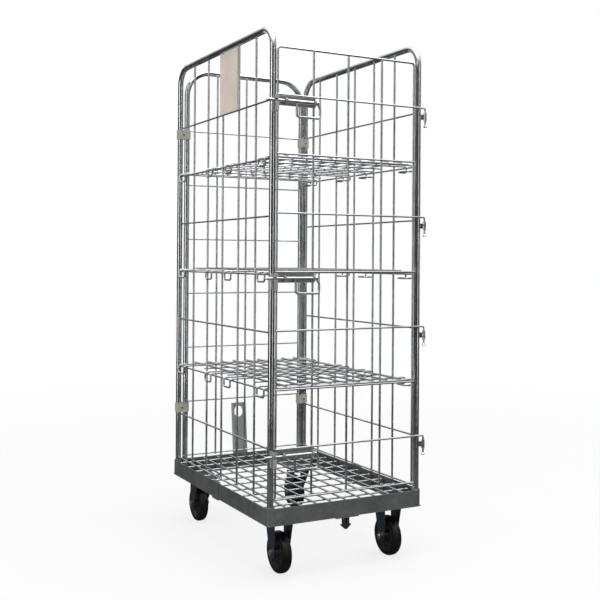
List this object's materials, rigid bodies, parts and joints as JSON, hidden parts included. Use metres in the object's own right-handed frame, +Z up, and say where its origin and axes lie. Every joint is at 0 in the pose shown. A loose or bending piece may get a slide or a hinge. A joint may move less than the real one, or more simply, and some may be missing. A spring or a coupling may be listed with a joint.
{
  "type": "roll cage container",
  "caption": "Wheeled wire mesh cage with fold up shelves, a swinging gate with sliding bolts and a fold down tow bar, for moving goods in warehouses.",
  "frame": {"origin": "on the floor, under the centre of the rectangle of the four corner posts", "axes": "+Z up; -Y out of the gate side; -X out of the side panel that carries the label plate; the tow bar is on the +Y side"},
  "size_m": [0.5957, 0.8664, 1.7],
  "materials": {
    "galvanised_wire": "bright zinc plated wire and tube, satin",
    "galvanised_plate": "zinc plated sheet, satin",
    "bright_zinc": "bright zinc plated fasteners and bolts",
    "base_steel": "dull grey hot dip zinc finish",
    "castor_steel": "blue tinted zinc plated pressed steel",
    "black_iron": "black cast catch",
    "label_paint": "pale beige painted sheet",
    "clip_plastic": "beige moulded plastic",
    "tyre_rubber": "black rubber",
    "wheel_plastic": "dark grey moulded plastic"
  },
  "bodies": {
    "root": {"back_panel": "galvanised_wire", "castor_bolts": "bright_zinc", "clip_screws": "bright_zinc", "deck_grid": "galvanised_wire", "front_base_frame": "base_steel", "front_left_axle": "bright_zinc", "front_left_bush": "bright_zinc", "front_left_fork": "castor_steel", "front_right_axle": "bright_zinc", "front_right_bush": "bright_zinc", "front_right_fork": "castor_steel", "hinge_brackets": "galvanised_plate", "hitch_bracket": "base_steel", "hitch_catch": "black_iron", "hitch_screws": "bright_zinc", "label_plate": "label_paint", "latch_keepers": "galvanised_plate", "left_side_panel": "galvanised_wire", "rear_base_frame": "base_steel", "rear_left_ball_race": "bright_zinc", "rear_left_kingpin": "bright_zinc", "rear_left_lower_clip": "clip_plastic", "rear_left_swivel_plate": "castor_steel", "rear_left_upper_clip": "clip_plastic", "rear_right_ball_race": "bright_zinc", "rear_right_kingpin": "bright_zinc", "rear_right_lower_clip": "clip_plastic", "rear_right_swivel_plate": "castor_steel", "rear_right_upper_clip": "clip_plastic", "right_side_panel": "galvanised_wire", "splice_bolts": "bright_zinc", "tow_bracket": "base_steel", "tow_pin": "bright_zinc", "tow_rivets": "bright_zinc"},
    "gate": {"gate": "galvanised_wire", "lower_latch_plate": "galvanised_plate", "middle_latch_plate": "galvanised_plate", "upper_latch_plate": "galvanised_plate"},
    "lower_latch_bolt": {"lower_latch_bolt": "bright_zinc"},
    "lower_shelf": {"lower_shelf": "galvanised_wire"},
    "middle_latch_bolt": {"middle_latch_bolt": "bright_zinc"},
    "middle_shelf": {"middle_shelf": "galvanised_wire"},
    "upper_latch_bolt": {"upper_latch_bolt": "bright_zinc"},
    "upper_shelf": {"upper_shelf": "galvanised_wire"},
    "rear_left_swivel": {"rear_left_fork": "castor_steel", "rear_left_axle": "bright_zinc", "rear_left_bush": "bright_zinc"},
    "front_left_wheel": {"front_left_tyre": "tyre_rubber", "front_left_wheel_core": "wheel_plastic"},
    "rear_left_wheel": {"rear_left_tyre": "tyre_rubber", "rear_left_wheel_core": "wheel_plastic"},
    "rear_right_swivel": {"rear_right_fork": "castor_steel", "rear_right_axle": "bright_zinc", "rear_right_bush": "bright_zinc"},
    "front_right_wheel": {"front_right_tyre": "tyre_rubber", "front_right_wheel_core": "wheel_plastic"},
    "rear_right_wheel": {"rear_right_tyre": "tyre_rubber", "rear_right_wheel_core": "wheel_plastic"},
    "tow_bar": {"tow_bar": "galvanised_plate"}
  },
  "joints": [
    {"name": "gate_swing", "type": "hinge", "parent": "root", "child": "gate", "pos_m": [0.2875, -0.4044, 0.9], "axis": [0, 0, 1], "range_deg": [0, 240]},
    {"name": "lower_bolt_slide", "type": "slide", "parent": "gate", "child": "lower_latch_bolt", "axis": [1, 0, 0], "range_m": [0, 0.041]},
    {"name": "middle_bolt_slide", "type": "slide", "parent": "gate", "child": "middle_latch_bolt", "axis": [1, 0, 0], "range_m": [0, 0.041]},
    {"name": "upper_bolt_slide", "type": "slide", "parent": "gate", "child": "upper_latch_bolt", "axis": [1, 0, 0], "range_m": [0, 0.041]},
    {"name": "lower_shelf_fold", "type": "hinge", "parent": "root", "child": "lower_shelf", "pos_m": [0.268, 0, 0.579], "axis": [0, 1, 0], "range_deg": [0, 38]},
    {"name": "middle_shelf_fold", "type": "hinge", "parent": "root", "child": "middle_shelf", "pos_m": [0.268, 0, 0.935], "axis": [0, 1, 0], "range_deg": [0, 38]},
    {"name": "upper_shelf_fold", "type": "hinge", "parent": "root", "child": "upper_shelf", "pos_m": [0.268, 0, 1.291], "axis": [0, 1, 0], "range_deg": [0, 50]},
    {"name": "rear_left_swivel_turn", "type": "hinge", "parent": "root", "child": "rear_left_swivel", "pos_m": [-0.203, 0.312, 0.15], "axis": [0, 0, 1], "continuous": true},
    {"name": "rear_right_swivel_turn", "type": "hinge", "parent": "root", "child": "rear_right_swivel", "pos_m": [0.203, 0.312, 0.15], "axis": [0, 0, 1], "continuous": true},
    {"name": "front_left_wheel_spin", "type": "hinge", "parent": "root", "child": "front_left_wheel", "pos_m": [-0.203, -0.326, 0.065], "axis": [1, 0, 0], "continuous": true},
    {"name": "rear_left_wheel_spin", "type": "hinge", "parent": "rear_left_swivel", "child": "rear_left_wheel", "pos_m": [-0.203, 0.344, 0.065], "axis": [1, 0, 0], "continuous": true},
    {"name": "front_right_wheel_spin", "type": "hinge", "parent": "root", "child": "front_right_wheel", "pos_m": [0.203, -0.326, 0.065], "axis": [1, 0, 0], "continuous": true},
    {"name": "rear_right_wheel_spin", "type": "hinge", "parent": "rear_right_swivel", "child": "rear_right_wheel", "pos_m": [0.203, 0.344, 0.065], "axis": [1, 0, 0], "continuous": true},
    {"name": "tow_bar_fold", "type": "hinge", "parent": "root", "child": "tow_bar", "pos_m": [0, 0.417, 0.196], "axis": [-1, 0, 0], "range_deg": [0, 94]}
  ]
}
